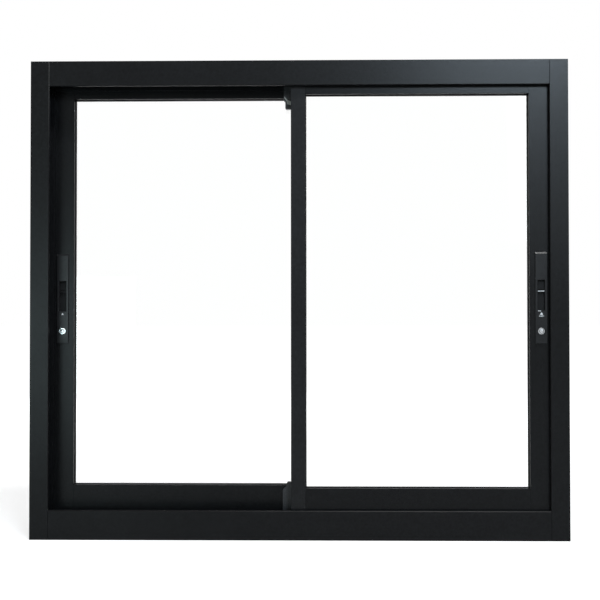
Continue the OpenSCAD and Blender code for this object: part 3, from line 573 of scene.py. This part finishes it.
def pile_tree(finish):
    """Tufts scattered on the bristled faces of the backing, leaning a little each its own way."""
    tree, given, out = geometry_tree("Pile tufts", (
        ("Tuft height", "NodeSocketFloat", 0.003), ("Tuft width", "NodeSocketFloat", 0.0013),
        ("Spacing", "NodeSocketFloat", 0.00115), ("Lean", "NodeSocketFloat", 0.16),
        ("Seed", "NodeSocketInt", 7)))
    k = Nodes(tree)
    height, width, seed = (given.outputs[n] for n in ("Tuft height", "Tuft width", "Seed"))
    tuft = k.add("GeometryNodeMeshCone", {"Vertices": 4, "Radius Bottom": k.maths("MULTIPLY", width, 0.5),
                                          "Radius Top": k.maths("MULTIPLY", width, 0.28), "Depth": height})
    bristled = k.add("GeometryNodeInputNamedAttribute", {"Name": "bristled"}, data_type="BOOLEAN")
    points = k.add("GeometryNodeDistributePointsOnFaces", {
        "Mesh": given.outputs["Geometry"], "Selection": bristled.outputs["Attribute"],
        "Distance Min": given.outputs["Spacing"], "Density Max": 900000.0, "Seed": seed},
        distribute_method="POISSON")
    lean = given.outputs["Lean"]
    back = k.maths("MULTIPLY", lean, -1.0)
    wobble = k.add("FunctionNodeRandomValue", {0: k.vector(back, back, 0.0), 1: k.vector(lean, lean, 6.28),
                                               "Seed": seed}, data_type="FLOAT_VECTOR")
    turned = k.add("FunctionNodeRotateRotation", {
        "Rotation": points.outputs["Rotation"],
        "Rotate By": k.add("FunctionNodeEulerToRotation", {0: wobble.outputs[0]}).outputs[0]},
        rotation_space="LOCAL")
    scale = k.add("FunctionNodeRandomValue", {0: (0.8, 0.8, 0.86), 1: (1.15, 1.15, 1.0), "Seed": seed},
                  data_type="FLOAT_VECTOR")
    placed = k.add("GeometryNodeInstanceOnPoints", {"Points": points.outputs["Points"],
                                                    "Instance": tuft.outputs["Mesh"],
                                                    "Rotation": turned.outputs[0], "Scale": scale.outputs[0]})
    both = k.add("GeometryNodeJoinGeometry")
    tree.links.new(given.outputs["Geometry"], both.inputs[0])
    tree.links.new(k.add("GeometryNodeRealizeInstances", {"Geometry": placed.outputs[0]}).outputs[0],
                   both.inputs[0])
    dressed = k.add("GeometryNodeSetMaterial", {"Geometry": both.outputs[0], "Material": finish})
    tree.links.new(dressed.outputs[0], out.inputs[0])
    return tree


def screw_points(places):
    """A carrier with one point for each (place, facing)."""
    bm = bmesh.new()
    layer = bm.verts.layers.float_vector.new("facing")
    for place, facing in places:
        bm.verts.new(place)[layer] = facing
    return bm


# ---------------------------------------------------------------- operators

class WINDOW_OT_coats(bpy.types.Operator):
    """Powder-coats the frame and sash profiles along their own drawing direction"""
    bl_idname = "window.coats"
    bl_label = "Coat the Profiles"

    def execute(self, context):
        c = context.scene.window_colours
        for node, axis in (("head", 0), ("sill", 0), ("left_jamb", 2), ("right_jamb", 2)):
            dress(node, material(f"Frame coat {'XYZ'[axis]}", powder_coat, c.frame_coat[:], axis))
        for sash in SASHES:
            for part, axis in (("lock_stile", 2), ("top_rail", 0), ("bottom_rail", 0)):
                coat = material(f"Sash coat {'XYZ'[axis]}", powder_coat, c.sash_coat[:], axis)
                dress(f"{sash}_{part}", coat)
            # The meeting stiles get a lighter, glossier copy of the sash coat: painted light for the light that
            # falls on them.
            coat = material("Meeting stile coat", powder_coat, c.stile_coat[:], 2, gloss=0.105)
            dress(f"{sash}_meeting_stile", coat)
        return {"FINISHED"}


class WINDOW_OT_edge_highlight(bpy.types.Operator):
    """Adds a thin strip at the joint of the left jamb and the head, with a painted highlight on the jamb's edge
    that dims downward
    """
    bl_idname = "window.cut_edge"
    bl_label = "Bare the Cut Edge"

    def execute(self, context):
        s = context.scene.window_sizes
        face, inner, top = JAMB_LO.y, -JAMB_LO.x, JAMB_HI.z
        bare = context.scene.window_colours.edge_highlight_colour[:]
        finish = Finish("Bare edge", bare, 0.45, gloss=0.12)
        split = finish.node("ShaderNodeSeparateXYZ")
        finish.link(finish.place, split.inputs[0])
        # Painted highlight: brightest near the top of the jamb, dimming towards the lower end of the strip.
        finish.tint(finish.levels(split.outputs["Z"], top - EDGE_DIM, top - EDGE_BRIGHT, 0.12, 1.0),
                    finish.levels(finish.noise(300.0, 3.0), 0.35, 0.65, 0.7, 1.3))
        bm = bmesh.new()
        add_box(bm, (inner - s.edge_width, face - EDGE_PROUD, top - EDGE_END),
                (inner, face + EDGE_ROOT, top - EDGE_TOP))
        new_piece("head_joint_edge", bm, finish.material)
        return {"FINISHED"}


class WINDOW_OT_glazing(bpy.types.Operator):
    """Finishes the glass and its wedge gaskets"""
    bl_idname = "window.glazing"
    bl_label = "Glaze the Sashes"

    def execute(self, context):
        c = context.scene.window_colours
        for sash in SASHES:
            dress(f"{sash}_glass", material("Float glass", float_glass, c.glass[:]))
            for side in ("room", "out"):
                dress(f"{sash}_gasket_{side}", material("Black gasket rubber", rubber, c.black_rubber[:]))
            dress(f"{sash}_setting_blocks", material("Block plastic", moulded, c.block_plastic[:]))
        # Light grey here is painted light, for the daylight from outside on the outer gasket.
        dress("outer_gasket_out", material("Grey gasket rubber", rubber, c.outer_gasket_lit_grey[:]))
        return {"FINISHED"}


class WINDOW_OT_locks(bpy.types.Operator):
    """Finishes the flush locks and adds their small marks, a painted highlight on one ridge and dark rings of
    painted shade in the screw grooves
    """
    bl_idname = "window.locks"
    bl_label = "Finish the Locks"

    def execute(self, context):
        c, s = context.scene.window_colours, context.scene.window_sizes
        for sash in SASHES:
            dress(f"{sash}_lock_plate", material("Lock coat", smooth_coat, c.lock_coat[:]))
            dress(f"{sash}_lock_case", material("Lock coat", smooth_coat, c.lock_coat[:]))
            dress(f"{sash}_lock_slide", material("Slide plastic", moulded, c.slide_plastic[:], 0.42, 0.07))
            dress(f"{sash}_lock_screw", material("Chrome", plated, c.chrome[:], 0.20, 0.05))
            dress(f"{sash}_lock_hook", material("Zinc", plated, c.zinc[:], 0.30))
            self.marks(sash, material("Mark paint", smooth_coat, c.mark[:], 0.5), s.mark_rise)
            # Dark ring: painted shade in the groove of the round screw.
            self.screw_groove_shade(sash, material("Black gasket rubber", rubber, c.black_rubber[:]))
        return {"FINISHED"}

    def marks(self, sash, paint, rise):
        """A triangle under the recess; on the room-side lock also two bars and a light line on the ridge, which
        is a painted highlight.
        """
        x, y = LOCK_X[sash], PLATE_FACE_Y[sash]
        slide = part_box(f"{sash}_lock_slide")[0]
        z = slide.z - MARK_DROP * MM
        half, tall = (size * MM for size in TRIANGLE[sash])
        bm = bmesh.new()
        add_prism(bm, [(x - half, z - tall), (x + half, z - tall), (x, z + tall)],
                  y - rise, y + MARK_ROOT * MM, MARK_CHAMFER * MM)
        if sash == "inner":
            for left, right, low, high in MARK_BARS:
                add_box(bm, (x + left * MM, y - rise, z + low * MM),
                        (x + right * MM, y + MARK_ROOT * MM, z + high * MM))
            # The light line on the ridge is a painted highlight.
            plate_low, plate_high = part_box("inner_lock_plate")
            ridge_z = (plate_low.z + plate_high.z) / 2 + RIDGE_UP * MM
            reach, low, high = RIDGE_HIGHLIGHT
            add_box(bm, (x - reach * MM, slide.y - RIDGE_PROUD * MM, ridge_z + low * MM),
                    (x + reach * MM, slide.y + RIDGE_ROOT * MM, ridge_z + high * MM))
        new_piece(f"{sash}_lock_marks", bm, paint)

    def screw_groove_shade(self, sash, finish):
        """A dark ring in the groove of the round screw: painted shade where the groove lies."""
        low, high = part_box(f"{sash}_lock_screw")
        middle = Vector(((low.x + high.x) / 2, 0.0, (low.z + high.z) / 2))
        radius = (high.x - low.x) / 2
        bm = bmesh.new()
        loops = []
        for inset, depth in GROOVE_SHADE_SECTION:
            r, y = radius - inset * MM, low.y + depth * MM
            loops.append([bm.verts.new(middle + Vector((r * math.cos(a), y, r * math.sin(a))))
                          for a in (math.tau * i / GROOVE_SHADE_SIDES for i in range(GROOVE_SHADE_SIDES))])
        for a, b in zip(loops, loops[1:] + loops[:1]):
            for i in range(GROOVE_SHADE_SIDES):
                j = (i + 1) % GROOVE_SHADE_SIDES
                bm.faces.new((a[i], a[j], b[j], b[i]))
        new_piece(f"{sash}_screw_ring", bm, finish)


class WINDOW_OT_fittings(bpy.types.Operator):
    """Finishes the wind blocks, stops, closing pads, keepers, rollers and their housings"""
    bl_idname = "window.fittings"
    bl_label = "Finish the Fittings"

    def execute(self, context):
        c = context.scene.window_colours
        plastic = material("Block plastic", moulded, c.block_plastic[:])
        # The wind blocks get a lighter copy of the black plastic: painted light, for the light on them.
        for node in ("head_block", "sill_block"):
            dress(node, material("Wind block plastic", moulded, c.wind_block_lit_plastic[:], 0.30, 0.16))
        for node in ("head_stops", "inner_roller_housings", "outer_roller_housings", "drain_covers"):
            dress(node, plastic)
        dress("jamb_buffers", material("Pad rubber", rubber, c.black_rubber[:], 0.7))
        for node in ("left_keeper", "right_keeper"):
            dress(node, material("Zinc", plated, c.zinc[:], 0.30))
        for sash in SASHES:
            dress(f"{sash}_rollers", material("Wheel nylon", moulded, c.wheel_plastic[:], 0.35, 0.5))
        return {"FINISHED"}


class WINDOW_OT_screws(bpy.types.Operator):
    """Puts the screws in the screw ports, fixing holes and keeper plates"""
    bl_idname = "window.screws"
    bl_label = "Drive the Screws"

    def execute(self, context):
        c, s = context.scene.window_colours, context.scene.window_sizes
        tree = screw_tree(material("Zinc", plated, c.zinc[:], 0.30))
        ports = [((side * (FRAME_X - PORT_HEAD_H), y, z), (side, 0, 0))
                 for side in (-1, 1) for y in (-PORT_Y, PORT_Y) for z in PORT_Z]
        fixings = [((side * POCKET_X, TRACK_Y[t], FRAME_MID_Z + rise), (-side, 0, 0))
                   for side in (-1, 1) for t in SASHES for rise in (-FIXING_RISE, FIXING_RISE)]
        corners, free_edges, keepers = [], [], []
        for sash in SASHES:
            side, y = SIDE[sash], TRACK_Y[sash]
            free = abs(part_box("inner_meeting_stile")[0].x)
            for z in SASH_PORT_Z:
                corners.append(((side * (SASH_X - EDGE_CHANNEL), y, z), (side, 0, 0)))
                free_edges.append(((-side * (free - PORT_HEAD_H), y, z), (-side, 0, 0)))
            low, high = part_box("right_keeper")
            for z in (low.z + KEEPER_SCREW_IN, high.z - KEEPER_SCREW_IN):
                keepers.append(((side * low.x, y, z), (-side, 0, 0)))
        for name, places, radius, tall, shank, reach in (
                ("frame_screws", ports, s.port_screw, PORT_HEAD_H, THIN_SHANK, 26 * MM),
                ("fixing_screws", fixings, s.fixing_screw, FIXING_HEAD_H, FIXING_SHANK, 14 * MM),
                ("sash_corner_screws", corners, CORNER_HEAD_R, CORNER_HEAD_H, THIN_SHANK, 20 * MM),
                ("sash_edge_screws", free_edges, s.port_screw, PORT_HEAD_H, THIN_SHANK, 24 * MM),
                ("keeper_screws", keepers, s.keeper_screw, KEEPER_HEAD_H, THIN_SHANK, 8 * MM)):
            grow(name, screw_points(places), tree, {
                "Head radius": radius, "Head height": tall, "Shank radius": shank,
                "Shank length": reach, "Seed": s.seed})
        return {"FINISHED"}


class WINDOW_OT_pile(bpy.types.Operator):
    """Weaves the pile strips: a thin backing with leaning tufts"""
    bl_idname = "window.pile"
    bl_label = "Weave the Pile"

    def strips(self, sash, thick):
        """The backing of each CAD strip and the way it bristles: low corner, high corner, -1 or 1."""
        for low, high in islands(f"{sash}_pile"):
            hooked = abs(low.x + high.x) < 1.0 * MM
            way = -1 if hooked or (low.y + high.y) / 2 < TRACK_Y[sash] else 1
            seat, tip = (low.y, high.y) if way > 0 else (high.y, low.y)
            back = seat + way * thick
            yield (low.x, min(seat, back), low.z), (high.x, max(seat, back), high.z), way, abs(tip - seat)

    def execute(self, context):
        c, s = context.scene.window_colours, context.scene.window_sizes
        tree = pile_tree(material("Pile yarn", woven, c.pile[:]))
        for sash in SASHES:
            bm = bmesh.new()
            layer = bm.faces.layers.bool.new("bristled")
            reach = 0.0
            for low, high, way, tall in self.strips(sash, s.pile_backing):
                made = add_box(bm, low, high)
                face_y = high[1] if way > 0 else low[1]
                for face in {f for v in made for f in v.link_faces}:
                    if abs(face.calc_center_median().y - face_y) < 1e-6:
                        face[layer] = True
                reach = max(reach, tall)
            bmesh.ops.recalc_face_normals(bm, faces=bm.faces)
            piece = grow(f"{sash}_pile_tufts", bm, tree, {
                "Tuft height": reach - s.pile_backing, "Tuft width": s.pile_tuft, "Spacing": s.pile_gap,
                "Seed": s.seed})
            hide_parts(f"{sash}_pile")
        return {"FINISHED"}


class WINDOW_OT_head_pad(bpy.types.Operator):
    """Adds a small slanted light-grey pad, with a felt texture, on the nose of the head block"""
    bl_idname = "window.head_pad"
    bl_label = "Fit the Head Pad"

    def execute(self, context):
        c = context.scene.window_colours
        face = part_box("head_block")[0]
        x, y, z = face.x, face.y, face.z
        bm = bmesh.new()
        add_prism(bm, [(x + right * MM, z + up * MM) for right, up in PAD_OUTLINE],
                  y - PAD_PROUD * MM, y + PAD_ROOT * MM, PAD_CHAMFER * MM)
        new_piece("head_block_pad", bm, material("Felt", woven, c.felt[:], 700.0))
        return {"FINISHED"}


class WINDOW_OT_studio(bpy.types.Operator):
    """Sets up the pale floor, the soft lights, the white surround and the camera"""
    bl_idname = "window.studio"
    bl_label = "Set Up the Studio"

    def lamp(self, name, power, place, target, size, tint):
        data = bpy.data.lights.new(name, "AREA")
        data.shape = "RECTANGLE"
        data.size, data.size_y = size
        data.energy = power
        data.color = tint
        made = bpy.data.objects.new(name, data)
        bpy.context.scene.collection.objects.link(made)
        made.location = place
        made.rotation_euler = (Vector(target) - Vector(place)).to_track_quat("-Z", "Y").to_euler()
        made.visible_camera = False
        made.visible_transmission = False

    def floor(self):
        mesh = bpy.data.meshes.new("studio_floor")
        mesh.from_pydata([(x * FLOOR_HALF, y * FLOOR_HALF, 0) for x, y in ((-1, -1), (1, -1), (1, 1), (-1, 1))],
                         [], [(0, 1, 2, 3)])
        made = bpy.data.objects.new("studio_floor", mesh)
        bpy.context.scene.collection.objects.link(made)
        finish = bpy.data.materials.new("Studio floor")
        finish.use_nodes = True
        tree = finish.node_tree
        tree.nodes.clear()
        k = Nodes(tree)
        out = k.add("ShaderNodeOutputMaterial")
        place = k.add("ShaderNodeTexCoord").outputs["Object"]
        away = k.add("ShaderNodeVectorMath", {0: place}, operation="LENGTH").outputs["Value"]
        glow = k.add("ShaderNodeMapRange", {
            "Value": away, "From Min": GLOW_FROM, "From Max": GLOW_TO, "To Min": GLOW_DIM,
            "To Max": GLOW_FULL}, interpolation_type="SMOOTHSTEP").outputs[0]
        lit = k.add("ShaderNodeAddShader", {
            0: k.add("ShaderNodeBsdfDiffuse", {"Color": (*[FLOOR_SEEN_GREY] * 3, 1.0)}).outputs[0],
            1: k.add("ShaderNodeEmission", {"Strength": glow}).outputs[0]}).outputs[0]
        plain = k.add("ShaderNodeBsdfDiffuse", {"Color": (*[FLOOR_PLAIN_GREY] * 3, 1.0)}).outputs[0]
        mix = k.add("ShaderNodeMixShader", {0: self.seen(tree), 1: plain, 2: lit}).outputs[0]
        tree.links.new(mix, out.inputs["Surface"])
        mesh.materials.append(finish)

    def seen(self, tree):
        """1 for rays that show the background itself: camera, mirror and glass rays."""
        k = Nodes(tree)
        path = k.add("ShaderNodeLightPath").outputs
        return k.maths("MAXIMUM", k.maths("MAXIMUM", path["Is Camera Ray"], path["Is Glossy Ray"]),
                       path["Is Transmission Ray"])

    def surround(self, strength):
        world = bpy.data.worlds.new("Studio surround")
        bpy.context.scene.world = world
        world.use_nodes = True
        tree = world.node_tree
        tree.nodes.clear()
        out = tree.nodes.new("ShaderNodeOutputWorld")
        mix = tree.nodes.new("ShaderNodeMixShader")
        dim = tree.nodes.new("ShaderNodeBackground")
        white = tree.nodes.new("ShaderNodeBackground")
        for shade in (dim, white):
            shade.inputs["Color"].default_value = (1.0, 1.0, 1.0, 1.0)
        dim.inputs["Strength"].default_value = strength
        tree.links.new(self.seen(tree), mix.inputs[0])
        tree.links.new(dim.outputs[0], mix.inputs[1])
        tree.links.new(white.outputs[0], mix.inputs[2])
        tree.links.new(mix.outputs[0], out.inputs["Surface"])

    def execute(self, context):
        s = context.scene.window_studio
        data = bpy.data.cameras.new("Camera")
        camera = bpy.data.objects.new("Camera", data)
        context.scene.collection.objects.link(camera)
        data.sensor_width = SENSOR_MM
        data.lens = data.sensor_width * s.focal_px / PICTURE_PX
        camera.location = (s.aside, JAMB_LO.y - s.distance, s.height)
        turn = (Matrix.Rotation(s.yaw, 3, "Z") @ Matrix.Rotation(math.pi / 2 + s.pitch, 3, "X")
                @ Matrix.Rotation(s.roll, 3, "Z"))
        camera.rotation_euler = turn.to_euler()
        context.scene.camera = camera
        self.floor()
        self.surround(s.surround)
        for name, power, *layout in LAMPS:
            self.lamp(name, getattr(s, power), *layout)
        context.scene.view_settings.view_transform = "Standard"
        return {"FINISHED"}


class WINDOW_PT_dresser(bpy.types.Panel):
    """Lists the steps and settings of the window"""
    bl_idname = "WINDOW_PT_dresser"
    bl_label = "Sliding Window"
    bl_space_type = "VIEW_3D"
    bl_region_type = "UI"
    bl_category = "Window"

    def draw(self, context):
        for operator in OPERATORS:
            self.layout.operator(operator.bl_idname)
        for group in ("window_sizes", "window_colours", "window_studio"):
            settings = getattr(context.scene, group)
            box = self.layout.box()
            for key in settings.bl_rna.properties.keys():
                if key not in ("rna_type", "name"):
                    box.prop(settings, key)


GROUPS = {"window_colours": WindowColours, "window_sizes": WindowSizes, "window_studio": StudioSettings}
OPERATORS = (WINDOW_OT_studio, WINDOW_OT_coats, WINDOW_OT_edge_highlight, WINDOW_OT_glazing, WINDOW_OT_locks,
             WINDOW_OT_fittings, WINDOW_OT_screws, WINDOW_OT_pile, WINDOW_OT_head_pad)
CLASSES = (*GROUPS.values(), *OPERATORS, WINDOW_PT_dresser)


def register():
    for cls in CLASSES:
        bpy.utils.register_class(cls)
    for name, group in GROUPS.items():
        setattr(bpy.types.Scene, name, PointerProperty(type=group))


def unregister():
    for name in GROUPS:
        delattr(bpy.types.Scene, name)
    for cls in reversed(CLASSES):
        bpy.utils.unregister_class(cls)


def main():
    register()
    for operator in OPERATORS:
        family, step = operator.bl_idname.split(".")
        getattr(getattr(bpy.ops, family), step)()


if __name__ == "__main__":
    main()
